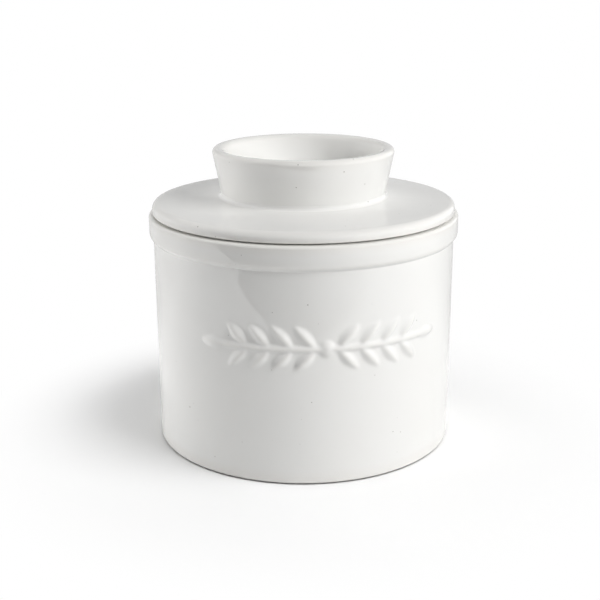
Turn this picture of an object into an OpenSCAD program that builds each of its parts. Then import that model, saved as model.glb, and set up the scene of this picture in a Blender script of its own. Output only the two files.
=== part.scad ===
// Butter keeper: a glazed crock that holds water, and a lift-off lid with a cup under it for the butter.
// Millimetres. The origin is on the table under the crock's centre, +Z is up and the front faces -Y.

/* [Crock] */
// Outer diameter of the wall
wall_d = 97.4; // [90:0.2:120]
// Height from the table to the top of the rim
crock_h = 74.7; // [72:0.1:100]
// Thickness of the wall
wall_t = 5.2; // [4:0.1:6.5]
// Thickness of the floor over the foot recess
floor_t = 5.4; // [4:0.1:8]
// Radius of the inside corner between the wall and the floor
floor_fillet = 7; // [2:0.5:10]

/* [Rim collar] */
// How far the collar stands out from the wall
collar_proud = 1.3; // [0.8:0.1:2.5]
// Height of the collar, from the start of its swelling to the top of the rim
collar_h = 9.2; // [8:0.1:14]
// Height of the soft swelling from the wall out to the collar
collar_ease = 3.6; // [2.8:0.1:5]
// Radius of the rim's outer edge
rim_round_out = 1.6; // [0.8:0.1:2]
// Radius of the rim's inner edge
rim_round_in = 1.4; // [0.8:0.1:2]

/* [Foot] */
// Width of the ring that stands on the table
foot_w = 6.5; // [4:0.5:12]
// Depth of the recess inside that ring
foot_recess = 1.2; // [0.6:0.1:2]
// Radius of the ring's two lower edges
foot_round = 1; // [0.4:0.1:1.5]

/* [Lid plate] */
// How far the plate's edge stays inside the collar's face
plate_inset = 1.2; // [0.6:0.1:2]
// Thickness of the plate at its edge
plate_t = 3.65; // [3.6:0.05:5]
// How far the top rises from the plate's edge to the knob
crown_rise = 1.55; // [0.5:0.05:4]
// Radius of the plate's lower edge
plate_round_low = 1.5; // [0.6:0.1:1.6]
// Radius of the plate's upper edge
plate_round_top = 2; // [0.8:0.1:2]
// Radius of the glaze fillet at the foot of the knob
knob_fillet = 1.2; // [0.6:0.1:2]

/* [Locating shoulder] */
// Depth of the shoulder that drops into the crock's mouth
shoulder_h = 3; // [2:0.1:5]
// Gap between the shoulder and the crock's bore, all round
shoulder_gap = 0.9; // [0.5:0.1:2]
// Radius of the shoulder's lower edge
shoulder_round = 1; // [0.4:0.1:1.5]

/* [Knob ring] */
// Outer diameter where the ring stands on the plate
knob_base_d = 53.6; // [44:0.2:60]
// Outer diameter where the flare meets the plane of the top
knob_top_d = 59; // [54:0.2:66]
// Height from the plate's crown to the top of the ring
knob_h = 15.8; // [10:0.1:24]
// Thickness of the ring, measured level
knob_t = 4.2; // [3.9:0.1:6]
// Radius of the lip's outer edge
lip_round_out = 2; // [0.8:0.1:2]
// Radius of the lip's inner edge
lip_round_in = 1.4; // [0.6:0.1:1.4]
// Depth of the dish inside the ring, from the crown of the plate
dish_depth = 2.4; // [1:0.1:2.6]
// Radius of the corner round the dish's floor
dish_fillet = 3; // [1:0.5:4]

/* [Bell cup] */
// Outer diameter at the lid
bell_root_d = 69; // [62:0.5:76]
// Outer diameter at the mouth
bell_mouth_d = 66; // [58:0.5:72]
// Thickness of the cup's wall
bell_t = 4.2; // [3.4:0.1:6]
// Length of the cup below the shoulder
bell_l = 47; // [30:0.5:54]
// Radius of the two edges of the mouth
mouth_round = 1.6; // [0.5:0.1:1.6]
// Depth of the recess over the cup, up into the shoulder
ceiling_rise = 1.6; // [1:0.1:1.8]
// Radius of the corner round the cup's ceiling
ceiling_fillet = 1.5; // [0.5:0.1:1.6]

/* [Leaf moulding] */
// Distance from the collar's swelling down to the stem
stem_drop = 22; // [14:0.5:36]
// Half width of the raised stem
stem_r = 0.9; // [0.5:0.1:1.2]
// Leaf pairs on each side of the middle
leaf_pairs = 4; // [2:1:6]
// Distance between leaf pairs along the stem
leaf_pitch = 6.8; // [5:0.2:8]
// Distance from the middle to the foot of the first pair
leaf_start = 3; // [2:0.2:6]
// Length of a leaf
leaf_l = 10; // [7:0.2:12]
// Width of a leaf
leaf_w = 3.8; // [2.4:0.1:4.6]
// Height that the leaves and the berry stand out from the wall
leaf_rise = 1.1; // [0.6:0.05:1.2]
// Angle between a leaf and the stem
leaf_angle = 46; // [30:1:60]
// Diameter of the berry in the middle
berry_d = 5.4; // [3:0.1:7]

/* [Hidden] */
$fn = 96;
glaze = "#F1EFEA";
// Overlap past a cut face, so that the cut is clean
slack = 0.5;
// How far a rounding arc passes through the faces that it joins, so that it meets them in one clean edge
bite = 0.0002;
// Share of the soft swelling that its two arcs take. The rest is the short slope between them.
ease_share = 0.94;
// Share of the end leaf's length that the stem runs under
stem_tuck = 0.4;

wall_r = wall_d / 2;
bore_r = wall_r - wall_t;
collar_r = wall_r + collar_proud;
ease_z = crock_h - collar_h;
ease_r = ease_share * (pow(collar_proud, 2) + pow(collar_ease, 2)) / (4 * collar_proud);
ease_lean = 2 * atan2(collar_proud, collar_ease);
ease_slope = collar_proud / tan(ease_lean);
ease_low = ease_z + (collar_ease - ease_slope) / 2;
ease_high = ease_low + ease_slope;
floor_z = foot_recess + floor_t;
recess_r = wall_r - foot_w;

plate_r = collar_r - plate_inset;
edge_z = crock_h + plate_t;
crown_z = edge_z + crown_rise;
seat_z = crown_z + knob_fillet;
knob_base_r = knob_base_d / 2;
knob_top_r = knob_top_d / 2;
knob_top_z = crown_z + knob_h;
knob_flare = atan2(knob_top_r - knob_base_r, knob_top_z - seat_z);
dish_r = knob_base_r - knob_t;
dish_z = crown_z - dish_depth;
crown_lean = atan2(crown_rise, plate_r - knob_base_r);

shoulder_r = bore_r - shoulder_gap;
shoulder_z = crock_h - shoulder_h;
bell_root_r = bell_root_d / 2;
bell_mouth_r = bell_mouth_d / 2;
bell_mouth_z = shoulder_z - bell_l;
bell_draft = atan2(bell_root_r - bell_mouth_r, bell_l);
ceiling_z = shoulder_z + ceiling_rise;
ceiling_r = bell_root_r - bell_t;

// A leaf is the lens that two balls share, sunk into the wall until its back shows.
leaf_disc = (pow(leaf_l / 2, 2) + pow(leaf_rise, 2)) / (2 * leaf_rise);
leaf_apart = (pow(leaf_l, 2) - pow(leaf_w, 2)) / (4 * leaf_w);
leaf_ball = sqrt(pow(leaf_disc, 2) + pow(leaf_apart, 2));
stem_z = ease_z - stem_drop;
leaf_feet = [for (i = [0 : leaf_pairs - 1]) leaf_start + i * leaf_pitch];
stem_l = leaf_start + leaf_pairs * leaf_pitch;
stem_turn = turn_for(stem_l + stem_tuck * leaf_l);
berry_ball = (pow(berry_d / 2, 2) + pow(leaf_rise, 2)) / (2 * leaf_rise);

function heading(angle) = [cos(angle), sin(angle)];
function turn_for(arc) = arc / wall_r * 180 / PI;

// The piece between a corner at the origin and the arc that rounds it. It is cut away from an outer corner
// and added to an inner one. The two angles are the headings from the arc's centre to the corner's faces.
module corner_piece(radius, from, to) {
    first = heading(from);
    last = heading(to);
    tip = (first + last) / (1 + first * last);
    centre = -radius * tip;
    reach = radius + slack;
    difference() {
        polygon([centre, centre + reach * first, centre + reach * tip, centre + reach * last]);
        translate(centre) circle(radius + bite);
    }
}

// Half section of the crock before it is hollowed.
module crock_block() {
    difference() {
        union() {
            polygon([
                [0, 0], [wall_r, 0], [wall_r, ease_low],
                [collar_r, ease_high], [collar_r, crock_h], [0, crock_h],
            ]);
            translate([wall_r, ease_low]) corner_piece(ease_r, 180 - ease_lean, 180);
        }
        translate([wall_r, 0]) corner_piece(foot_round, -90, 0);
        translate([collar_r, ease_high]) corner_piece(ease_r, -ease_lean, 0);
        translate([collar_r, crock_h]) corner_piece(rim_round_out, 0, 90);
    }
}

// Half section of the space inside the crock, with the rounding of the rim's inner edge.
module crock_hollow() {
    difference() {
        translate([0, floor_z]) square([bore_r, crock_h - floor_z + slack]);
        translate([bore_r, floor_z]) corner_piece(floor_fillet, -90, 0);
    }
    translate([bore_r, crock_h]) corner_piece(rim_round_in, 90, 180);
}

// Half section of the recess inside the foot ring.
module foot_hollow() {
    translate([0, -slack]) square([recess_r, foot_recess + slack]);
    translate([recess_r, 0]) corner_piece(foot_round, 180, 270);
}

// Sets a shape that faces -Y on the wall, at a distance round the wall from the middle of the front.
module on_wall(arc, z) {
    rotate([0, 0, turn_for(arc)]) translate([0, -wall_r, z]) children();
}

// One leaf along X, with its back facing -Y and its middle at the origin.
module leaf() {
    intersection_for(side = [-1, 1]) {
        translate([0, leaf_disc - leaf_rise, side * leaf_apart]) sphere(leaf_ball);
    }
}

// Two sprigs of paired leaves that spring from a berry in the middle of the front.
module leaf_moulding() {
    on_wall(0, stem_z) translate([0, berry_ball - leaf_rise, 0]) sphere(berry_ball);
    rotate([0, 0, -90 - stem_turn]) rotate_extrude(angle = 2 * stem_turn) {
        translate([wall_r, stem_z]) circle(stem_r);
    }
    out = leaf_l / 2 * cos(leaf_angle);
    up = leaf_l / 2 * sin(leaf_angle);
    for (side = [-1, 1]) {
        on_wall(side * (stem_l + leaf_l / 2), stem_z) leaf();
        for (foot = leaf_feet, tilt = [-1, 1]) {
            on_wall(side * (foot + out), stem_z + tilt * up) rotate([0, -side * tilt * leaf_angle, 0]) leaf();
        }
    }
}

// Crock: straight wall, thick rim collar, foot ring and the raised leaves on its front.
module crock() {
    color(glaze) difference() {
        union() {
            rotate_extrude() crock_block();
            leaf_moulding();
        }
        rotate_extrude() crock_hollow();
        rotate_extrude() foot_hollow();
    }
}

// Lid plate: crowned on top, resting on the rim, with a shoulder below that keeps it in the mouth.
module lid_plate() {
    color(glaze) rotate_extrude() difference() {
        union() {
            polygon([
                [0, crock_h], [plate_r, crock_h], [plate_r, edge_z],
                [knob_base_r, crown_z], [knob_base_r, seat_z], [0, seat_z],
            ]);
            translate([0, shoulder_z]) square([shoulder_r, shoulder_h]);
            translate([knob_base_r, crown_z]) corner_piece(knob_fillet, 180, 270 - crown_lean);
        }
        translate([plate_r, crock_h]) corner_piece(plate_round_low, -90, 0);
        translate([plate_r, edge_z]) corner_piece(plate_round_top, 0, 90 - crown_lean);
        translate([shoulder_r, shoulder_z]) corner_piece(shoulder_round, -90, 0);
        difference() {
            translate([0, dish_z]) square([dish_r, seat_z - dish_z + slack]);
            translate([dish_r, dish_z]) corner_piece(dish_fillet, -90, 0);
        }
        difference() {
            translate([0, shoulder_z - slack]) square([ceiling_r, ceiling_rise + slack]);
            translate([ceiling_r, ceiling_z]) corner_piece(ceiling_fillet, 0, 90);
        }
    }
}

// Knob ring: hollow and flared, a grip when the lid is on and a foot when the lid is turned over.
module knob_ring() {
    color(glaze) rotate_extrude() difference() {
        polygon([
            [dish_r, seat_z], [knob_base_r, seat_z],
            [knob_top_r, knob_top_z], [knob_top_r - knob_t, knob_top_z],
        ]);
        translate([knob_top_r, knob_top_z]) corner_piece(lip_round_out, -knob_flare, 90);
        translate([knob_top_r - knob_t, knob_top_z]) corner_piece(lip_round_in, 90, 180 - knob_flare);
    }
}

// Bell cup: open below, hangs from the shoulder and holds the butter with its mouth in the water.
module bell_cup() {
    color(glaze) rotate_extrude() difference() {
        polygon([
            [bell_mouth_r - bell_t, bell_mouth_z], [bell_mouth_r, bell_mouth_z],
            [bell_root_r, shoulder_z], [ceiling_r, shoulder_z],
        ]);
        translate([bell_mouth_r, bell_mouth_z]) corner_piece(mouth_round, -90, -bell_draft);
        translate([bell_mouth_r - bell_t, bell_mouth_z]) corner_piece(mouth_round, 180 - bell_draft, 270);
    }
}

crock();
lid_plate();
knob_ring();
bell_cup();
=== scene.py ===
"""Looks of the butter keeper: a glazed crock and its lift-off lid with a ring knob and a cup.

Sizes of the object are written in millimetres, as in the part's source, and become metres where a mesh is
made. Lengths in the studio are in metres.
"""

import logging
import math
from dataclasses import dataclass, field
from enum import Enum
from functools import partial
from typing import Any, Mapping, Sequence

import bpy
from bpy.types import Collection, ID, Material, Mesh, NodeSocket, NodeTree, Object
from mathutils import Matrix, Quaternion, Vector


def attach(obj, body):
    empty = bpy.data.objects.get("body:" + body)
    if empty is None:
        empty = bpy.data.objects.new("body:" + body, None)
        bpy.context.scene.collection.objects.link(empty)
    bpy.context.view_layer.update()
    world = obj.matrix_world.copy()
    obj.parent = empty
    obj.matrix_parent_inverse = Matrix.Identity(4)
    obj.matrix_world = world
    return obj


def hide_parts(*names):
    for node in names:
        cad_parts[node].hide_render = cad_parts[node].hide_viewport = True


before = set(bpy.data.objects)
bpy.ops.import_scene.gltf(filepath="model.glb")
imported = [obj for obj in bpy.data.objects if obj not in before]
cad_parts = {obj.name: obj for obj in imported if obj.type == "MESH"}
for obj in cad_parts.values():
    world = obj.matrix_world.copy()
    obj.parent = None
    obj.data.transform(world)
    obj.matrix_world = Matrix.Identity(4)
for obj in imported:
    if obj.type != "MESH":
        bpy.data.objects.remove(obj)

LOG = logging.getLogger("butter_keeper")
MM = 0.001
# Attributes on the meshes: how tightly the glaze bends, where the clay is bare, and where the card fades out.
BEND = "glaze_bend"
BARE = "bare_clay"
FADE = "fade"
# A face counts as bare clay from here on.
BARE_FROM = 0.99
# The most used kind of node.
MATH = "ShaderNodeMath"
WHITE = (1.0, 1.0, 1.0, 1.0)


class Zone(Enum):
    """How a stretch of a section is finished."""

    GLAZED = 0.0
    BARE = 1.0


class Seat(Enum):
    """The body that a piece rides on."""

    CROCK = "crock"
    LID = "lid"


def linear_rgba(hex_code: str) -> tuple[float, float, float, float]:
    """Turns an sRGB hex colour into the linear colour that shaders use.

    Args:
        hex_code: six hexadecimal digits after a hash sign.

    Returns:
        Red, green, blue and an alpha of 1.
    """
    steps = [int(hex_code[i : i + 2], 16) / 255 for i in (1, 3, 5)]
    return (*(s / 12.92 if s <= 0.04045 else ((s + 0.055) / 1.055) ** 2.4 for s in steps), 1.0)


def place(
    tree: NodeTree,
    kind: str,
    inputs: Mapping[str, Any] | Sequence[Any] = (),
    out: str | None = None,
    **settings: Any,
) -> NodeSocket:
    """Adds a node with its settings and links.

    Args:
        tree: the shader or geometry tree that takes the node.
        kind: Blender's name for the kind of node.
        inputs: values or source sockets, by the inputs' names or in their order.
        out: name of the output to hand back, or None for the first one.
        settings: properties of the node by name.

    Returns:
        That output, or for a node without outputs its first input.
    """
    node = tree.nodes.new(kind)
    for name, value in settings.items():
        setattr(node, name, value)
    for key, value in inputs.items() if isinstance(inputs, Mapping) else enumerate(inputs):
        if isinstance(key, int):
            socket = node.inputs[key]
        else:
            socket = next(s for s in node.inputs if s.name == key and not s.is_unavailable)
        if isinstance(value, NodeSocket):
            tree.links.new(value, socket)
        else:
            socket.default_value = value
    if not node.outputs:
        return node.inputs[0]
    return next(s for s in node.outputs if not s.is_unavailable and out in (None, s.name))


def new_object(name: str, data: ID) -> Object:
    """Makes an object and puts it in the scene.

    Args:
        name: the object's name.
        data: its mesh, lamp or camera.

    Returns:
        The object.
    """
    thing = bpy.data.objects.new(name, data)
    bpy.context.scene.collection.objects.link(thing)
    return thing


def new_material(name: str) -> Material:
    """Makes a material without any nodes.

    Args:
        name: the material's name.

    Returns:
        The material.
    """
    material = bpy.data.materials.new(name)
    material.use_nodes = True
    material.node_tree.nodes.clear()
    return material


@dataclass(frozen=True)
class WhiteGlaze:
    """Glossy white glaze, fired on a pale clay.

    The eye sees a soft warm white with sharp reflections that swim a little, a thinner and creamier skin over
    edges, a fuller one in corners, and a few dark iron specks and pinholes.
    """

    name: str = "white_glaze_fired_on_stoneware"
    full: str = "#F1F1EF"
    cloud: str = "#F0EFEC"
    thin: str = "#EDEAE4"
    speck: str = "#6E675B"
    roughness: float = 0.02
    ior: float = 1.66
    cloud_mm: float = 28.0
    cloud_detail: float = 2.0
    thin_share: float = 0.75
    wave_mm: float = 11.0
    wave_depth_mm: float = 0.05
    wave_detail: float = 1.0
    peel_mm: float = 2.2
    peel_depth_mm: float = 0.006
    peel_detail: float = 2.0
    speck_spacing_mm: float = 4.4
    speck_radius_mm: float = 0.24
    speck_core: float = 0.4
    speck_depth_mm: float = 0.05
    speck_bump: float = 0.6
    speck_roughness: float = 0.4

    def build(self) -> Material:
        """Makes the material.

        Returns:
            The glaze, ready to be put on a piece.
        """
        material = new_material(self.name)
        put = partial(place, material.node_tree)
        where = put("ShaderNodeTexCoord", out="Object")
        clouds, waves, peel = (
            put("ShaderNodeTexNoise", {"Vector": where, "Scale": 1 / (across * MM), "Detail": detail}, "Fac")
            for across, detail in (
                (self.cloud_mm, self.cloud_detail), (self.wave_mm, self.wave_detail),
                (self.peel_mm, self.peel_detail),
            )
        )
        bend = put("ShaderNodeAttribute", out="Fac", attribute_name=BEND)
        thinness = put("ShaderNodeMapRange", {"Value": bend, "To Max": self.thin_share}, "Result")
        spacing = self.speck_spacing_mm * MM
        cells = put("ShaderNodeTexVoronoi", {"Vector": where, "Scale": 1 / spacing}, "Distance")
        reach = self.speck_radius_mm / self.speck_spacing_mm
        speck = put(
            "ShaderNodeMapRange",
            {
                "Value": cells, "From Min": self.speck_core * reach, "From Max": reach,
                "To Min": 1.0, "To Max": 0.0,
            },
            "Result", interpolation_type="SMOOTHSTEP",
        )
        strength = put("ShaderNodeSeparateColor", {"Color": cells.node.outputs["Color"]}, "Red")
        speck = put(MATH, [speck, strength], operation="MULTIPLY")

        colour = linear_rgba(self.full)
        for share, other in ((clouds, self.cloud), (thinness, self.thin), (speck, self.speck)):
            colour = put(
                "ShaderNodeMix", {"Factor": share, "A": colour, "B": linear_rgba(other)}, "Result",
                data_type="RGBA",
            )
        normal = {}
        for height, bump, depth_mm, dents in (
            (waves, 1.0, self.wave_depth_mm, False),
            (peel, 1.0, self.peel_depth_mm, False),
            (speck, self.speck_bump, self.speck_depth_mm, True),
        ):
            shape = {"Height": height, "Strength": bump, "Distance": depth_mm * MM, **normal}
            normal = {"Normal": put("ShaderNodeBump", shape, invert=dents)}
        gloss = {"Value": speck, "To Min": self.roughness, "To Max": self.speck_roughness}
        gloss = put("ShaderNodeMapRange", gloss, "Result")
        look = {"Base Color": colour, "Roughness": gloss, "IOR": self.ior, **normal}
        shader = put("ShaderNodeBsdfPrincipled", look)
        put("ShaderNodeOutputMaterial", {"Surface": shader})
        return material


@dataclass(frozen=True)
class BareClay:
    """Pale fired clay, wiped clean of glaze where the piece stood in the kiln.

    The eye sees a dry, creamy, finely gritty ring without any shine.
    """

    name: str = "bare_fired_stoneware"
    clay: str = "#E3D9C6"
    grit: str = "#CBBFA9"
    roughness: float = 0.85
    grit_mm: float = 0.7
    grit_depth_mm: float = 0.05
    grit_detail: float = 4.0
    grit_contrast: float = 0.65

    def build(self) -> Material:
        """Makes the material.

        Returns:
            The clay, ready to be put on a piece.
        """
        material = new_material(self.name)
        put = partial(place, material.node_tree)
        grains = {
            "Vector": put("ShaderNodeTexCoord", out="Object"), "Scale": 1 / (self.grit_mm * MM),
            "Detail": self.grit_detail, "Roughness": self.grit_contrast,
        }
        grains = put("ShaderNodeTexNoise", grains, "Fac")
        colour = put(
            "ShaderNodeMix", {"Factor": grains, "A": linear_rgba(self.clay), "B": linear_rgba(self.grit)},
            "Result", data_type="RGBA",
        )
        skin = put("ShaderNodeBump", {"Height": grains, "Strength": 1.0, "Distance": self.grit_depth_mm * MM})
        look = {"Base Color": colour, "Roughness": self.roughness, "Normal": skin}
        shader = put("ShaderNodeBsdfPrincipled", look)
        put("ShaderNodeOutputMaterial", {"Surface": shader})
        return material


@dataclass(frozen=True)
class Corner:
    """A corner of a half section, in millimetres, with the step and the zone of the stretch after it."""

    r: float
    z: float
    rounding: float = 0.0
    step: float = 4.0
    zone: Zone = Zone.GLAZED


@dataclass
class Section:
    """Half section of a turned piece, walked with the clay on the left hand.

    A bend counts in full where it is rounded by tight_mm or less and turns by tight_turn radians or more.
    """

    corners: Sequence[Corner]
    closed: bool = False
    arc_step_deg: float = 7.5
    arc_least: int = 3
    tight_mm: float = 1.2
    tight_turn: float = 1.2
    soften_mm: float = 0.7
    crease_mm: float = 0.02
    points: list[tuple[float, float]] = field(default_factory=list)
    bends: list[float] = field(default_factory=list)
    zones: list[float] = field(default_factory=list)

    def walk(self) -> None:
        """Fills in the points of the section, with each corner rounded and each long stretch divided."""
        count = len(self.corners)
        ends = [self._round(i) for i in range(count)]
        for i in range(count):
            for spot, bend in ends[i]:
                self._add(spot, bend, self.corners[i].zone)
            if i == count - 1 and not self.closed:
                break
            start, finish = ends[i][-1][0], ends[(i + 1) % count][0][0]
            pieces = max(1, math.ceil((finish - start).length / self.corners[i].step))
            for k in range(1, pieces):
                self._add(start.lerp(finish, k / pieces), 0.0, self.corners[i].zone)
        if self.closed:
            self._add(*ends[0][0], self.corners[0].zone)
        self._soften()

    def _add(self, spot: Vector, bend: float, zone: Zone) -> None:
        """Adds one point to the section.

        Args:
            spot: its radius and height.
            bend: how tightly the section bends there.
            zone: how it is finished.
        """
        self.points.append((spot.x, spot.y))
        self.bends.append(bend)
        self.zones.append(zone.value)

    def _round(self, i: int) -> list[tuple[Vector, float]]:
        """Rounds one corner.

        Args:
            i: the corner's place in the list.

        Returns:
            The points of its arc, each with how tightly it bends: above 0 on an outer corner, below 0 on an
            inner one.
        """
        count = len(self.corners)
        corner = self.corners[i]
        spot = Vector((corner.r, corner.z))
        if not self.closed and i in (0, count - 1):
            return [(spot, 0.0)]
        before, after = self.corners[i - 1], self.corners[(i + 1) % count]
        came = (spot - Vector((before.r, before.z))).normalized()
        goes = (Vector((after.r, after.z)) - spot).normalized()
        if corner.rounding <= 0:
            return [(spot - came * self.crease_mm, 0.0), (spot, 0.0), (spot + goes * self.crease_mm, 0.0)]
        turn = math.atan2(came.x * goes.y - came.y * goes.x, came.dot(goes))
        reach = corner.rounding * math.tan(abs(turn) / 2)
        side = math.copysign(1.0, turn)
        centre = spot - came * reach + Vector((-came.y, came.x)) * side * corner.rounding
        first = spot - came * reach - centre
        pieces = max(self.arc_least, math.ceil(abs(math.degrees(turn)) / self.arc_step_deg))
        tight = side * min(1.0, self.tight_mm / corner.rounding) * min(1.0, abs(turn) / self.tight_turn)
        arc = []
        for k in range(pieces + 1):
            angle = turn * k / pieces
            swung = Vector((
                first.x * math.cos(angle) - first.y * math.sin(angle),
                first.x * math.sin(angle) + first.y * math.cos(angle),
            ))
            arc.append((centre + swung, tight * math.sin(math.pi * k / pieces)))
        return arc

    def _soften(self) -> None:
        """Spreads each bend over its neighbours along the section, as melted glaze does."""
        spots = [Vector(p) for p in self.points]
        rows = [[math.exp(-(((a - b).length / self.soften_mm) ** 2)) for b in spots] for a in spots]
        self.bends = [sum(w * b for w, b in zip(row, self.bends)) / sum(row) for row in rows]

    def line(self, name: str) -> Mesh:
        """Makes the section a chain of vertices in the XZ plane, in metres.

        Args:
            name: the mesh's name.

        Returns:
            The mesh, with the bend and the zone of each vertex as attributes.
        """
        mesh = bpy.data.meshes.new(name)
        mesh.from_pydata(
            [(r * MM, 0.0, z * MM) for r, z in self.points],
            [(i, i + 1) for i in range(len(self.points) - 1)], [],
        )
        for label, values in ((BEND, self.bends), (BARE, self.zones)):
            mesh.attributes.new(label, "FLOAT", "POINT").data.foreach_set("value", values)
        return mesh


class GeometryTree:
    """A tree of geometry nodes. Its inputs carry the names of fields of a piece, its sprigs and finishes."""

    name: str
    inputs: Mapping[str, str]

    def __init__(self) -> None:
        """Builds the tree, which takes a geometry beside its named inputs and hands one back."""
        self.tree = bpy.data.node_groups.new(self.name, "GeometryNodeTree")
        self.tree.is_modifier = True
        for label, kind in {"shape": "Geometry", **self.inputs}.items():
            self.tree.interface.new_socket(label, in_out="INPUT", socket_type="NodeSocket" + kind)
        self.tree.interface.new_socket("shape", in_out="OUTPUT", socket_type="NodeSocketGeometry")
        self.put = partial(place, self.tree)
        self.given = self.put("NodeGroupInput").node.outputs
        self.put("NodeGroupOutput", {"shape": self._link()})

    def _link(self) -> NodeSocket:
        """Lays out the nodes. Each kind of tree has its own."""
        raise NotImplementedError


class TurnedTree(GeometryTree):
    """Geometry nodes that turn a section about Z, with finer columns across the front."""

    name = "turned_on_the_wheel"
    inputs = {
        "columns": "Int", "front_columns": "Int", "front_angle": "Float",
        "glaze": "Material", "clay": "Material",
    }
    # Points closer than this, in metres, become one, which closes the seam and the poles.
    weld = 1e-6

    def _angle(self, column: NodeSocket) -> NodeSocket:
        """Works out where a column stands, counted from the left end of the fine front.

        Args:
            column: the column's number.

        Returns:
            Its angle about Z.
        """
        put = self.put
        front, fine = self.given["front_angle"], self.given["front_columns"]
        in_front = put(MATH, [column, fine], operation="MINIMUM")
        front_step = put(MATH, [front, fine], operation="DIVIDE")
        behind = put(MATH, [column, in_front], operation="SUBTRACT")
        back = put(MATH, [math.tau, front], operation="SUBTRACT")
        coarse = put(MATH, [self.given["columns"], fine], operation="SUBTRACT")
        back_step = put(MATH, [back, coarse], operation="DIVIDE")
        angle = put(MATH, [front, -0.5, -math.pi / 2], operation="MULTIPLY_ADD")
        angle = put(MATH, [in_front, front_step, angle], operation="MULTIPLY_ADD")
        return put(MATH, [behind, back_step, angle], operation="MULTIPLY_ADD")

    def _link(self) -> NodeSocket:
        """Lays out the nodes.

        Returns:
            The turned piece.
        """
        put = self.put
        line, columns = self.given["shape"], self.given["columns"]
        rows = put("GeometryNodeAttributeDomainSize", {"Geometry": line}, "Point Count")
        row_gaps = put(MATH, [rows, 1.0], operation="SUBTRACT")
        posts = put(MATH, [columns, 1.0], operation="ADD")
        shape = put(
            "GeometryNodeMeshGrid",
            {"Size X": columns, "Size Y": row_gaps, "Vertices X": posts, "Vertices Y": rows}, "Mesh",
        )
        here = put("GeometryNodeInputPosition")
        spot = put("ShaderNodeSeparateXYZ", [here]).node.outputs
        column = put(MATH, [columns, 0.5, spot["X"]], operation="MULTIPLY_ADD")
        row = put(MATH, [row_gaps, 0.5, spot["Y"]], operation="MULTIPLY_ADD")
        row = put(MATH, [row], operation="ROUND")
        section = put(
            "GeometryNodeSampleIndex", {"Geometry": line, "Value": here, "Index": row}, "Value",
            data_type="FLOAT_VECTOR",
        )
        reach = put("ShaderNodeSeparateXYZ", [section]).node.outputs
        angle = self._angle(column)
        turned = {"Z": reach["Z"]}
        for axis, wave in (("X", "COSINE"), ("Y", "SINE")):
            share = put(MATH, [angle], operation=wave)
            turned[axis] = put(MATH, [reach["X"], share], operation="MULTIPLY")
        for label in (BEND, BARE):
            value = put("GeometryNodeInputNamedAttribute", {"Name": label}, "Attribute")
            value = put("GeometryNodeSampleIndex", {"Geometry": line, "Value": value, "Index": row}, "Value")
            shape = put("GeometryNodeStoreNamedAttribute", {"Geometry": shape, "Name": label, "Value": value})
        turned = put("ShaderNodeCombineXYZ", turned)
        shape = put("GeometryNodeSetPosition", {"Geometry": shape, "Position": turned})
        shape = put("GeometryNodeMergeByDistance", {"Geometry": shape, "Distance": self.weld})
        shape = put("GeometryNodeSetShadeSmooth", {"Geometry": shape})
        shape = put("GeometryNodeRealizeInstances", [shape])
        shape = put("GeometryNodeSetMaterial", {"Geometry": shape, "Material": self.given["glaze"]})
        bare = put("GeometryNodeInputNamedAttribute", {"Name": BARE}, "Attribute")
        bare = put("FunctionNodeCompare", {"A": bare, "B": BARE_FROM}, operation="GREATER_THAN")
        clay = self.given["clay"]
        return put("GeometryNodeSetMaterial", {"Geometry": shape, "Selection": bare, "Material": clay})


@dataclass(frozen=True)
class Sprigs:
    """Sizes of the leaf moulding on the crock's front, in millimetres and radians."""

    stem_z: float = 43.5
    stem_r: float = 0.9
    pairs: int = 4
    pitch: float = 6.8
    start: float = 3.0
    leaf_l: float = 10.0
    leaf_w: float = 3.8
    rise: float = 1.1
    angle: float = math.radians(46.0)
    tuck: float = 0.4
    berry_r: float = 2.7
    band: float = 15.0
    soften: int = 5

    @property
    def stem_reach(self) -> float:
        """Length of the stem from the middle of the front to its end, which is tucked into the last leaf."""
        return self.start + self.pairs * self.pitch + self.tuck * self.leaf_l

    @property
    def half_span(self) -> float:
        """Distance round the wall from the middle of the front to the tip of the last leaf."""
        return self.start + self.pairs * self.pitch + self.leaf_l


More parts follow.
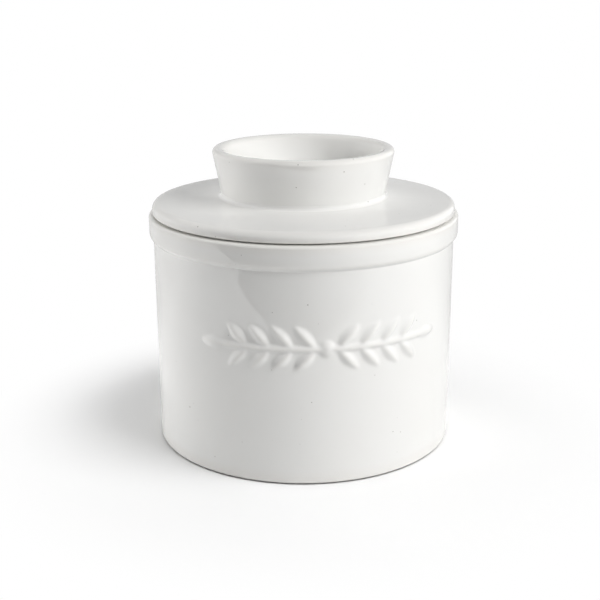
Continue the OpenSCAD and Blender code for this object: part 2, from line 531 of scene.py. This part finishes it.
class SprigTree(GeometryTree):
    """Geometry nodes that raise leaves along a stem out of the crock's wall.

    The leaves, stem and berry are laid out flat, each point of the wall looks up how high they stand over it,
    and the heights are blurred as a coat of glaze does before they move the wall.
    """

    # The lengths among the sprigs' sizes.
    lengths = (
        "stem_z", "stem_r", "stem_reach", "pitch", "start", "leaf_l", "leaf_w", "rise", "berry_r", "band",
    )
    name = "leaf_sprigs_raised_from_wall"
    inputs = {
        "wall_r": "Float", "angle": "Float", **dict.fromkeys(lengths, "Float"),
        "pairs": "Int", "soften": "Int", "glaze": "Material",
    }
    # Points along and across a leaf, sides of the stem, segments and rings of the berry.
    leaf_long, leaf_wide = 33, 17
    stem_sides = 24
    berry_segments, berry_rings = 48, 32
    # Leaves at one place along the stem, and how steeply a leaf falls off towards its edge.
    per_rank = 4.0
    leaf_fall = 1.2
    # Height in metres from which the wall looks down, and depth of the skin that counts as its outside.
    above = 0.01
    skin = 0.0005
    # How much thinner the glaze gets for each metre that a crest stands out of the blurred relief.
    crest_thin = 3000.0

    def _leaf(self) -> NodeSocket:
        """Lays out the nodes of one leaf along X, with its foot at the origin.

        Returns:
            The leaf's mesh.
        """
        put = self.put
        blank = put(
            "GeometryNodeMeshGrid",
            {"Size X": 2.0, "Size Y": 2.0, "Vertices X": self.leaf_long, "Vertices Y": self.leaf_wide},
            "Mesh",
        )
        spot = put("ShaderNodeSeparateXYZ", [put("GeometryNodeInputPosition")]).node.outputs
        taper = put(MATH, [spot["X"], spot["X"]], operation="MULTIPLY")
        taper = put(MATH, [1.0, taper], operation="SUBTRACT")
        half_l = put(MATH, [self.given["leaf_l"], 0.5], operation="MULTIPLY")
        along = put(MATH, [spot["X"], half_l, half_l], operation="MULTIPLY_ADD")
        half_w = put(MATH, [self.given["leaf_w"], 0.5], operation="MULTIPLY")
        across = put(MATH, [spot["Y"], half_w], operation="MULTIPLY")
        across = put(MATH, [across, taper], operation="MULTIPLY")
        slope = put(MATH, [spot["Y"]], operation="ABSOLUTE")
        slope = put(MATH, [slope, self.leaf_fall], operation="POWER")
        slope = put(MATH, [1.0, slope], operation="SUBTRACT")
        high = put(MATH, [self.given["rise"], taper], operation="MULTIPLY")
        high = put(MATH, [high, slope], operation="MULTIPLY")
        there = put("ShaderNodeCombineXYZ", [along, across, high])
        return put("GeometryNodeSetPosition", {"Geometry": blank, "Position": there})

    def _leaves(self) -> NodeSocket:
        """Sets leaves along the stem, in pairs to the left and right, with one more at each end.

        Returns:
            The instances of the leaf.
        """
        put = self.put
        pairs, lean = self.given["pairs"], self.given["angle"]
        ranks = put(MATH, [pairs, 1.0], operation="ADD")
        total = put(MATH, [ranks, self.per_rank], operation="MULTIPLY")
        index = put("GeometryNodeInputIndex")
        rank = put(MATH, [index, self.per_rank], operation="DIVIDE")
        rank = put(MATH, [rank], operation="FLOOR")
        odd = put(MATH, [index, 2.0], operation="MODULO")
        side = put(MATH, [odd, -2.0, 1.0], operation="MULTIPLY_ADD")
        half = put(MATH, [index, 0.5], operation="MULTIPLY")
        half = put(MATH, [half], operation="FLOOR")
        odd_half = put(MATH, [half, 2.0], operation="MODULO")
        tilt = put(MATH, [odd_half, -2.0, 1.0], operation="MULTIPLY_ADD")
        paired = put(MATH, [rank, pairs], operation="LESS_THAN")
        for share in (tilt, paired, side):
            lean = put(MATH, [lean, share], operation="MULTIPLY")
        turned = put(MATH, [odd, math.pi, lean], operation="MULTIPLY_ADD")
        foot = put(MATH, [rank, self.given["pitch"], self.given["start"]], operation="MULTIPLY_ADD")
        foot = put(MATH, [foot, side], operation="MULTIPLY")
        foot = put("ShaderNodeCombineXYZ", {"X": foot})
        feet = put("GeometryNodePoints", {"Count": total, "Position": foot})
        spin = put("ShaderNodeCombineXYZ", {"Z": turned})
        return put(
            "GeometryNodeInstanceOnPoints", {"Points": feet, "Instance": self._leaf(), "Rotation": spin},
        )

    def _flat(self) -> NodeSocket:
        """Lays out the leaves, the stem and the berry on the flat.

        Returns:
            Their mesh. The berry is a ball, sunk so that it stands as high as the leaves.
        """
        put = self.put
        reach, rise, berry_r = self.given["stem_reach"], self.given["rise"], self.given["berry_r"]
        reach_back = put(MATH, [reach, -1.0], operation="MULTIPLY")
        start, end = (put("ShaderNodeCombineXYZ", {"X": x}) for x in (reach_back, reach))
        stem = put("GeometryNodeCurvePrimitiveLine", {"Start": start, "End": end})
        girth = {"Resolution": self.stem_sides, "Radius": self.given["stem_r"]}
        girth = put("GeometryNodeCurvePrimitiveCircle", girth)
        stem = put("GeometryNodeCurveToMesh", {"Curve": stem, "Profile Curve": girth, "Fill Caps": True})
        squares = put(MATH, [berry_r, berry_r], operation="MULTIPLY")
        squares = put(MATH, [rise, rise, squares], operation="MULTIPLY_ADD")
        ball_r = put(MATH, [squares, rise], operation="DIVIDE")
        ball_r = put(MATH, [ball_r, 0.5], operation="MULTIPLY")
        sunk = put(MATH, [rise, ball_r], operation="SUBTRACT")
        sunk = put("ShaderNodeCombineXYZ", {"Z": sunk})
        ball = {"Segments": self.berry_segments, "Rings": self.berry_rings, "Radius": ball_r}
        berry = put("GeometryNodeMeshUVSphere", ball, "Mesh")
        berry = put("GeometryNodeTransform", {"Geometry": berry, "Translation": sunk})
        flat = put("GeometryNodeJoinGeometry")
        for form in (self._leaves(), stem, berry):
            self.tree.links.new(form, flat.node.inputs["Geometry"])
        return put("GeometryNodeRealizeInstances", [flat])

    def _link(self) -> NodeSocket:
        """Lays out the nodes that look up the heights, blur them and move the wall.

        Returns:
            The wall with the sprigs.
        """
        put = self.put
        wall_r = self.given["wall_r"]
        spot = put("ShaderNodeSeparateXYZ", [put("GeometryNodeInputPosition")]).node.outputs
        towards = put(MATH, [spot["Y"], -1.0], operation="MULTIPLY")
        bearing = put(MATH, [spot["X"], towards], operation="ARCTAN2")
        round_wall = put(MATH, [bearing, wall_r], operation="MULTIPLY")
        up_wall = put(MATH, [spot["Z"], self.given["stem_z"]], operation="SUBTRACT")
        look = put(
            "GeometryNodeRaycast",
            {
                "Target Geometry": self._flat(),
                "Source Position": put("ShaderNodeCombineXYZ", [round_wall, up_wall, self.above]),
                "Ray Direction": (0.0, 0.0, -1.0), "Ray Length": self.above,
            },
        ).node.outputs
        out_r = put(MATH, [spot["X"], spot["X"]], operation="MULTIPLY")
        out_r = put(MATH, [spot["Y"], spot["Y"], out_r], operation="MULTIPLY_ADD")
        out_r = put(MATH, [out_r], operation="SQRT")
        skin_r = put(MATH, [wall_r, self.skin], operation="SUBTRACT")
        on_skin = put(MATH, [out_r, skin_r], operation="GREATER_THAN")
        from_stem = put(MATH, [up_wall], operation="ABSOLUTE")
        in_band = put(MATH, [from_stem, self.given["band"]], operation="LESS_THAN")
        height = put(MATH, [self.above, look["Hit Distance"]], operation="SUBTRACT")
        for share in (look["Is Hit"], on_skin, in_band):
            height = put(MATH, [height, share], operation="MULTIPLY")

        shape = self.given["shape"]
        for label, passes in (("relief_crisp", 1), ("relief", self.given["soften"])):
            soft = put("GeometryNodeBlurAttribute", {"Value": height, "Iterations": passes})
            shape = put("GeometryNodeStoreNamedAttribute", {"Geometry": shape, "Name": label, "Value": soft})
        crisp, relief, bend, bare = (
            put("GeometryNodeInputNamedAttribute", {"Name": label}, "Attribute")
            for label in ("relief_crisp", "relief", BEND, BARE)
        )
        crest = put(MATH, [crisp, relief], operation="SUBTRACT")
        bend = put(MATH, [crest, self.crest_thin, bend], operation="MULTIPLY_ADD")
        shape = put("GeometryNodeStoreNamedAttribute", {"Geometry": shape, "Name": BEND, "Value": bend})
        outward = put(MATH, [relief, out_r], operation="DIVIDE")
        push = {axis: put(MATH, [spot[axis], outward], operation="MULTIPLY") for axis in ("X", "Y")}
        push = put("ShaderNodeCombineXYZ", push)
        shape = put("GeometryNodeSetPosition", {"Geometry": shape, "Offset": push})
        shape = put("GeometryNodeRealizeInstances", [shape])
        glazed = put("FunctionNodeCompare", {"A": bare, "B": BARE_FROM}, operation="LESS_THAN")
        glaze = self.given["glaze"]
        return put("GeometryNodeSetMaterial", {"Geometry": shape, "Selection": glazed, "Material": glaze})


@dataclass
class TurnedPiece:
    """A fired piece that is turned about Z and stands for one solid of the frame."""

    name: str
    node: str
    seat: Seat
    section: Section
    columns: int = 240
    front_columns: int = 120
    front_angle: float = math.pi
    sprigs: Sprigs | None = None
    wall_r: float = 0.0

    def build(self, turned: TurnedTree, raised: SprigTree, finishes: Mapping[str, Material]) -> Object:
        """Makes the piece and hands it to the frame.

        Args:
            turned: the tree that turns a section.
            raised: the tree that raises the leaf moulding.
            finishes: the glaze and the clay by name.

        Returns:
            The finished piece.
        """
        self.section.walk()
        piece = new_object(self.name, self.section.line(self.name + "_section"))
        self._modifier(piece, turned.tree, {**vars(self), **finishes})
        if self.sprigs:
            values = {**vars(self.sprigs), "wall_r": self.wall_r * MM, "glaze": finishes["glaze"]}
            values.update({label: getattr(self.sprigs, label) * MM for label in raised.lengths})
            self._modifier(piece, raised.tree, values)
        self._settle(piece)
        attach(piece, self.seat.value)
        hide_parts(self.node)
        return piece

    @staticmethod
    def _modifier(piece: Object, tree: NodeTree, values: Mapping[str, Any]) -> None:
        """Adds a geometry nodes modifier.

        Args:
            piece: the object that takes it.
            tree: the node tree.
            values: the tree's inputs by name.
        """
        modifier = piece.modifiers.new(tree.name, "NODES")
        modifier.node_group = tree
        for item in tree.interface.items_tree:
            if item.item_type == "SOCKET" and item.in_out == "INPUT" and item.name in values:
                modifier[item.identifier] = values[item.name]

    @staticmethod
    def _settle(piece: Object) -> None:
        """Turns what the modifiers make into a plain mesh whose faces point outwards.

        Args:
            piece: the object with its modifiers.
        """
        graph = bpy.context.evaluated_depsgraph_get()
        mesh = bpy.data.meshes.new_from_object(
            piece.evaluated_get(graph), preserve_all_data_layers=True, depsgraph=graph
        )
        piece.modifiers.clear()
        piece.data = mesh
        mesh.name = piece.name
        mesh.calc_loop_triangles()
        triples = ([mesh.vertices[i].co for i in t.vertices] for t in mesh.loop_triangles)
        if sum(a.dot(b.cross(c)) for a, b, c in triples) < 0:
            mesh.flip_normals()
        mesh.update()


@dataclass
class Crock:
    """The outer pot, in millimetres: straight wall, thick rim collar, foot ring and leaves on its front."""

    wall_r: float = 48.7
    collar_r: float = 49.98
    bore_r: float = 43.5
    height: float = 74.7
    floor_z: float = 6.6
    floor_fillet: float = 7.0
    ease_low: float = 66.9
    ease_high: float = 68.1
    ease_low_r: float = 0.5
    ease_high_r: float = 2.0
    rim_out: float = 0.9
    rim_in: float = 1.4
    recess_r: float = 42.2
    recess_z: float = 1.2
    recess_fillet: float = 0.5
    foot_in: float = 0.3
    foot_out: float = 0.15
    foot_r: float = 45.4
    foot_lean: float = 0.1
    foot_gap: float = 0.38
    gap_fillet: float = 0.1
    wall_round: float = 0.5
    bore_step: float = 8.0
    fine_step: float = 0.3
    fine_band: float = 13.0
    fine_margin: float = 3.0
    back_columns: int = 104
    sprigs: Sprigs = field(default_factory=Sprigs)

    def piece(self) -> TurnedPiece:
        """Lays out the crock's section.

        Returns:
            The piece, ready to be built.
        """
        low, high = self.sprigs.stem_z - self.fine_band, self.sprigs.stem_z + self.fine_band
        section = Section([
            Corner(0.0, self.recess_z),
            Corner(self.recess_r, self.recess_z, self.recess_fillet),
            Corner(self.recess_r, 0.0, self.foot_in, zone=Zone.BARE),
            Corner(self.foot_r, 0.0, self.foot_out, zone=Zone.BARE),
            Corner(self.foot_r + self.foot_lean, self.foot_gap, self.gap_fillet),
            Corner(self.wall_r, self.foot_gap, self.wall_round),
            Corner(self.wall_r, low, step=self.fine_step),
            Corner(self.wall_r, high),
            Corner(self.wall_r, self.ease_low, self.ease_low_r),
            Corner(self.collar_r, self.ease_high, self.ease_high_r),
            Corner(self.collar_r, self.height, self.rim_out),
            Corner(self.bore_r, self.height, self.rim_in, self.bore_step),
            Corner(self.bore_r, self.floor_z, self.floor_fillet),
            Corner(0.0, self.floor_z),
        ])
        reach = self.sprigs.half_span + self.fine_margin
        fine = 2 * round(reach / self.fine_step)
        return TurnedPiece(
            "crock_glazed", "crock", Seat.CROCK, section, fine + self.back_columns, fine,
            2 * reach / self.wall_r, self.sprigs, self.wall_r,
        )


@dataclass
class Lid:
    """The lid, in millimetres: plate, ring knob and cup, fired together as one."""

    rim_z: float = 74.7
    plate_r: float = 48.8
    edge_z: float = 78.35
    crown_z: float = 79.9
    seat_z: float = 81.1
    low_round: float = 0.45
    slot: float = 0.46
    slot_r: float = 45.2
    slot_fillet: float = 0.15
    top_round: float = 2.0
    shoulder_r: float = 42.6
    shoulder_z: float = 71.7
    shoulder_round: float = 1.0
    shoulder_fillet: float = 0.3
    knob_base_r: float = 26.6
    knob_top_r: float = 29.4
    knob_top_z: float = 95.4
    knob_t: float = 3.8
    knob_fillet: float = 1.2
    lip_out: float = 1.5
    lip_in: float = 2.3
    dish_z: float = 77.5
    dish_fillet: float = 3.0
    bell_root_r: float = 34.5
    bell_mouth_r: float = 33.0
    bell_mouth_z: float = 24.7
    bell_t: float = 4.2
    root_fillet: float = 1.2
    root_spread: float = 1.44
    feather: float = 0.03
    mouth_round: float = 1.6
    ceiling_z: float = 73.3
    ceiling_fillet: float = 1.5

    def pieces(self) -> list[TurnedPiece]:
        """Lays out the sections of the three pieces.

        Returns:
            The plate, the knob and the cup, ready to be built.
        """
        return [
            TurnedPiece("lid_plate_glazed", "lid_plate", Seat.LID, self._plate()),
            TurnedPiece("knob_ring_glazed", "knob_ring", Seat.LID, self._knob()),
            TurnedPiece("bell_cup_glazed", "bell_cup", Seat.LID, self._bell()),
        ]

    def _plate(self) -> Section:
        """Lays out the plate with its shoulder, its dish and the seat of the knob.

        Returns:
            The section.
        """
        dish_r = self.knob_base_r - self.knob_t
        flare = (self.knob_top_r - self.knob_base_r) / (self.knob_top_z - self.seat_z)
        ceiling_r = self.bell_root_r - self.bell_t
        return Section([
            Corner(0.0, self.ceiling_z),
            Corner(ceiling_r, self.ceiling_z, self.ceiling_fillet),
            Corner(ceiling_r, self.shoulder_z),
            Corner(self.bell_root_r, self.shoulder_z),
            Corner(self.shoulder_r, self.shoulder_z, self.shoulder_round),
            Corner(self.shoulder_r, self.rim_z, self.shoulder_fillet),
            Corner(self.slot_r, self.rim_z, self.slot_fillet),
            Corner(self.slot_r + self.slot, self.rim_z + self.slot, self.slot_fillet),
            Corner(self.plate_r, self.rim_z + self.slot, self.low_round),
            Corner(self.plate_r, self.edge_z, self.top_round),
            Corner(self.knob_base_r - flare * (self.seat_z - self.crown_z), self.crown_z, self.knob_fillet),
            Corner(self.knob_base_r, self.seat_z),
            Corner(dish_r, self.seat_z),
            Corner(dish_r - flare * (self.seat_z - self.dish_z), self.dish_z, self.dish_fillet),
            Corner(0.0, self.dish_z),
        ])

    def _knob(self) -> Section:
        """Lays out the hollow flared ring.

        Returns:
            The section.
        """
        return Section([
            Corner(self.knob_base_r - self.knob_t, self.seat_z),
            Corner(self.knob_base_r, self.seat_z),
            Corner(self.knob_top_r, self.knob_top_z, self.lip_out),
            Corner(self.knob_top_r - self.knob_t, self.knob_top_z, self.lip_in),
        ], closed=True)

    def _bell(self) -> Section:
        """Lays out the cup under the plate, with a glaze fillet at its root and a bare ring round its mouth.

        Returns:
            The section.
        """
        spread_r = self.bell_root_r + self.root_spread
        return Section([
            Corner(self.bell_mouth_r - self.bell_t, self.bell_mouth_z, self.mouth_round, zone=Zone.BARE),
            Corner(self.bell_mouth_r, self.bell_mouth_z, self.mouth_round),
            Corner(self.bell_root_r, self.shoulder_z - self.feather, self.root_fillet),
            Corner(spread_r, self.shoulder_z - self.feather),
            Corner(spread_r, self.shoulder_z),
            Corner(self.bell_root_r - self.bell_t, self.shoulder_z),
        ], closed=True)


@dataclass(frozen=True)
class Spot:
    """A place in the studio as the camera sees it: to the right, to the front and up, in metres."""

    right: float
    front: float
    up: float

    def point(self, facing: float) -> Vector:
        """Turns the place into scene coordinates.

        Args:
            facing: the camera's azimuth in degrees.

        Returns:
            The point.
        """
        turn = math.radians(facing)
        return Vector((
            self.right * math.cos(turn) + self.front * math.sin(turn),
            self.right * math.sin(turn) - self.front * math.cos(turn),
            self.up,
        ))


@dataclass(frozen=True)
class Softbox:
    """A rectangular studio lamp with an even face, which faces the middle of the object.

    The glaze doesn't mirror it: what shows on the glaze are the room, the panels and the card.
    """

    name: str
    stands: Spot
    width: float
    height: float
    radiance: float
    faces: Spot = Spot(0.0, 0.0, 0.04)

    def hang(self, facing: float, group: Collection) -> None:
        """Makes the lamp.

        Args:
            facing: the camera's azimuth in degrees.
            group: the objects that the lamp is kept to.
        """
        data = bpy.data.lights.new(self.name, "AREA")
        data.shape = "RECTANGLE"
        data.size, data.size_y = self.width, self.height
        data.energy = self.radiance * math.pi * self.width * self.height
        lamp = new_object(self.name, data)
        lamp.location = self.stands.point(facing)
        lamp.rotation_mode = "QUATERNION"
        lamp.rotation_quaternion = (self.faces.point(facing) - lamp.location).to_track_quat("-Z", "Y")
        lamp.visible_camera = False
        lamp.visible_glossy = False
        lamp.light_linking.receiver_collection = group


def mirror_only(sheet: Object, material: Material, tone: Any, strength: float) -> None:
    """Makes a sheet of the studio glow, and lets it show only as a reflection.

    Args:
        sheet: the sheet's object.
        material: an empty material or one with the nodes of the tone.
        tone: the glow's colour, or the socket that gives it.
        strength: the glow's strength, 1 for white.
    """
    glow = place(material.node_tree, "ShaderNodeEmission", {"Color": tone, "Strength": strength})
    place(material.node_tree, "ShaderNodeOutputMaterial", {"Surface": glow})
    sheet.data.materials.append(material)
    sheet.visible_camera = False
    sheet.visible_diffuse = False
    sheet.visible_shadow = False


@dataclass(frozen=True)
class Panel:
    """An upright white sheet beside the object that shows only as a reflection."""

    name: str
    low: Spot
    high: Spot
    radiance: float

    def stand(self, facing: float) -> None:
        """Makes the panel.

        Args:
            facing: the camera's azimuth in degrees.
        """
        a, b = self.low, self.high
        corners = [a, Spot(b.right, b.front, a.up), b, Spot(a.right, a.front, b.up)]
        mesh = bpy.data.meshes.new(self.name)
        mesh.from_pydata([spot.point(facing) for spot in corners], [], [(0, 1, 2, 3)])
        panel = new_object(self.name, mesh)
        mirror_only(panel, new_material(self.name + "_glow"), WHITE, self.radiance)


@dataclass
class Studio:
    """A pale floor, soft lamps and the camera, in metres and degrees, with the picture's centre in pixels."""

    facing: float = -8.0
    pitch: float = 17.36
    roll: float = 0.18
    distance: float = 0.36827
    aim_z: float = 0.04057
    lens: float = 66.01
    nearest: float = 0.01
    centre_x: float = 303.80
    centre_y: float = 309.56
    frame_px: float = 600.0
    floor_half: float = 12.0
    floor_bounce: str = "#E6E6E6"
    # Tone of the painted reflection: behind the object the floor glows this dim, but only in the glaze.
    floor_behind: str = "#D0D0D0"
    behind_from: float = 0.02
    behind_to: float = 0.14
    fade_from: float = 0.055
    fade_to: float = 0.115
    ambient: float = 0.05
    # The card paints a dark reflection band and a white glow on the glaze; only mirrored rays see it.
    card_lift: float = 0.0005
    card_front: float = 0.185
    card_depth: float = 0.6
    card_width: float = 1.4
    card_fade_from: float = 0.0
    card_fade_to: float = 0.25
    card_tone: str = "#141414"
    boxes: Sequence[Softbox] = (
        Softbox("softbox_right", Spot(0.687, 0.446, 0.614), 0.6, 0.5, 9.6),
        Softbox("softbox_left", Spot(-0.975, -0.172, 0.179), 0.5, 0.3, 8.6),
        Softbox("softbox_left_rear", Spot(-0.847, -0.489, 0.248), 0.5, 0.4, 3.6),
        Softbox("softbox_left_high", Spot(-0.853, -0.150, 0.540), 0.5, 0.4, 2.1),
        Softbox("softbox_back", Spot(0.067, -0.763, 0.683), 1.0, 0.6, 0.3),
        Softbox("softbox_top", Spot(0.000, 0.087, 1.036), 0.6, 0.6, 0.4),
    )
    floor_boxes: Sequence[Softbox] = (
        Softbox("floor_right", Spot(0.424, 0.265, 0.906), 0.5, 0.5, 8.2),
        Softbox("floor_left", Spot(-0.754, -0.133, 0.683), 0.6, 0.5, 1.7),
        Softbox("floor_back", Spot(0.067, -0.763, 0.683), 1.0, 0.6, 0.6),
        Softbox("floor_top", Spot(0.000, 0.087, 1.036), 0.9, 0.9, 1.0),
    )
    panels: Sequence[Panel] = (
        Panel("panel_right", Spot(0.25, -0.4, 0.06), Spot(0.25, 0.435, 0.28), 1.3),
        Panel("panel_left", Spot(-0.175, -0.075, 0.08), Spot(-0.175, 0.115, 0.45), 1.5),
        Panel("panel_back", Spot(-0.6, -0.8, 0.0), Spot(0.6, -0.8, 0.5), 0.7),
    )

    def build(self, pieces: Sequence[Object]) -> None:
        """Sets up the floor, the card, the world, the lamps, the panels and the camera.

        Args:
            pieces: the object's own pieces.
        """
        bpy.context.scene.view_settings.view_transform = "Standard"
        self._card()
        self._world()
        for boxes, things in ((self.boxes, pieces), (self.floor_boxes, [self._floor()])):
            group = bpy.data.collections.new("lit_by_" + boxes[0].name)
            for thing in things:
                group.objects.link(thing)
            for box in boxes:
                box.hang(self.facing, group)
        for panel in self.panels:
            panel.stand(self.facing)
        self._camera()

    @staticmethod
    def _seen(tree: NodeTree) -> tuple[Any, NodeSocket]:
        """Tells rays that show the background, straight, mirrored or through glass, from rays that light.

        Args:
            tree: the node tree of the floor or of the world.

        Returns:
            The light path's outputs, and a socket that is 1 where a ray shows the background.
        """
        path = place(tree, "ShaderNodeLightPath").node.outputs
        seen = path["Is Camera Ray"]
        for kind in ("Is Glossy Ray", "Is Transmission Ray"):
            seen = place(tree, MATH, [seen, path[kind]], operation="MAXIMUM")
        return path, seen

    def _floor(self) -> Object:
        """Lays a wide floor of white paper, which keeps the shadow near the object.

        Further off it shows as plain white, and behind the object the glaze mirrors it a little dimmer, a
        painted reflection tone.

        Returns:
            The floor.
        """
        half = self.floor_half
        corners = [(-half, -half, 0.0), (half, -half, 0.0), (half, half, 0.0), (-half, half, 0.0)]
        mesh = bpy.data.meshes.new("floor")
        mesh.from_pydata(corners, [], [(0, 1, 2, 3)])
        material = new_material("white_paper_floor")
        mesh.materials.append(material)
        put = partial(place, material.node_tree)
        path, seen = self._seen(material.node_tree)
        where = put("ShaderNodeTexCoord", out="Object")
        away = put("ShaderNodeVectorMath", [where], "Value", operation="LENGTH")
        back = Spot(0.0, -1.0, 0.0).point(self.facing)
        back = put("ShaderNodeVectorMath", [where, back], "Value", operation="DOT_PRODUCT")
        far, behind = (
            put(
                "ShaderNodeMapRange", {"Value": value, "From Min": start, "From Max": end}, "Result",
                interpolation_type="SMOOTHSTEP",
            )
            for value, start, end in (
                (away, self.fade_from, self.fade_to), (back, self.behind_from, self.behind_to),
            )
        )
        # Painted reflection: behind the object, mirrored rays see the floor's glow dimmer than the camera
        # does.
        dimmed = put(MATH, [behind, path["Is Glossy Ray"]], operation="MULTIPLY")
        bounce, dim = linear_rgba(self.floor_bounce), linear_rgba(self.floor_behind)
        paper, shown = (
            put("ShaderNodeMix", {"Factor": share, "A": low, "B": high}, "Result", data_type="RGBA")
            for share, low, high in ((seen, bounce, WHITE), (dimmed, WHITE, dim))
        )
        paper = put("ShaderNodeBsdfDiffuse", {"Color": paper})
        shown = put("ShaderNodeEmission", {"Color": shown})
        share = put(MATH, [seen, far], operation="MULTIPLY")
        put("ShaderNodeOutputMaterial", {"Surface": put("ShaderNodeMixShader", [share, paper, shown])})
        floor = new_object("floor", mesh)
        return floor

    def _card(self) -> None:
        """Lays a dark sheet on the table in front of the object, which paints a dark reflected band onto the
        glaze.

        It shows only as a painted reflection, and fades out to a white glow on the right, towards the bright
        panel.
        """
        near, far = self.card_front, self.card_front + self.card_depth
        columns = ((-self.card_width / 2, 0.0), (self.card_fade_from, 0.0), (self.card_fade_to, 1.0))
        spots = [Spot(right, front, self.card_lift) for right, _ in columns for front in (near, far)]
        mesh = bpy.data.meshes.new("dark_card")
        mesh.from_pydata([spot.point(self.facing) for spot in spots], [], [(0, 2, 3, 1), (2, 4, 5, 3)])
        fades = [fade for _, fade in columns for _ in (near, far)]
        mesh.attributes.new(FADE, "FLOAT", "POINT").data.foreach_set("value", fades)
        material = new_material("painted_dark_reflection_card")
        put = partial(place, material.node_tree)
        # Painted reflection: dark where the glaze mirrors the band, fading to a white glow.
        fade = put("ShaderNodeAttribute", out="Fac", attribute_name=FADE)
        dark = linear_rgba(self.card_tone)
        tone = put("ShaderNodeMix", {"Factor": fade, "A": dark, "B": WHITE}, "Result", data_type="RGBA")
        card = new_object("dark_card", mesh)
        mirror_only(card, material, tone, 1.0)

    def _world(self) -> None:
        """Surrounds the object with a dim, even room, which shows as white, also in reflections."""
        world = bpy.data.worlds.new("dim_room")
        bpy.context.scene.world = world
        world.use_nodes = True
        tree = world.node_tree
        tree.nodes.clear()
        _, seen = self._seen(tree)
        level = place(tree, MATH, [seen, self.ambient], operation="MAXIMUM")
        sky = place(tree, "ShaderNodeBackground", {"Color": WHITE, "Strength": level})
        place(tree, "ShaderNodeOutputWorld", {"Surface": sky})

    def _camera(self) -> None:
        """Sets up the camera at the photograph's angle."""
        data = bpy.data.cameras.new("camera")
        data.lens = self.lens
        data.clip_start = self.nearest
        half = self.frame_px / 2
        data.shift_x = -(self.centre_x - half) / self.frame_px
        data.shift_y = (self.centre_y - half) / self.frame_px
        camera = new_object("camera", data)
        turn, tilt = math.radians(self.facing), math.radians(self.pitch)
        back = Vector((math.sin(turn) * math.cos(tilt), -math.cos(turn) * math.cos(tilt), math.sin(tilt)))
        camera.location = Vector((0.0, 0.0, self.aim_z)) + back * self.distance
        camera.rotation_mode = "QUATERNION"
        aim = (-back).to_track_quat("-Z", "Y")
        camera.rotation_quaternion = aim @ Quaternion((0.0, 0.0, 1.0), -math.radians(self.roll))
        bpy.context.scene.camera = camera


def main() -> None:
    """Builds the pieces in order, logs their faces and sets up the studio."""
    logging.basicConfig(level=logging.INFO, format="%(name)s: %(message)s")
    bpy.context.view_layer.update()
    finishes = {"glaze": WhiteGlaze().build(), "clay": BareClay().build()}
    turned, raised = TurnedTree(), SprigTree()
    pieces = []
    for plan in [Crock().piece(), *Lid().pieces()]:
        piece = plan.build(turned, raised, finishes)
        LOG.info("%s stands for %s: %d faces", piece.name, plan.node, len(piece.data.polygons))
        pieces.append(piece)
    Studio().build(pieces)
    bpy.context.view_layer.update()


if __name__ == "__main__":
    main()
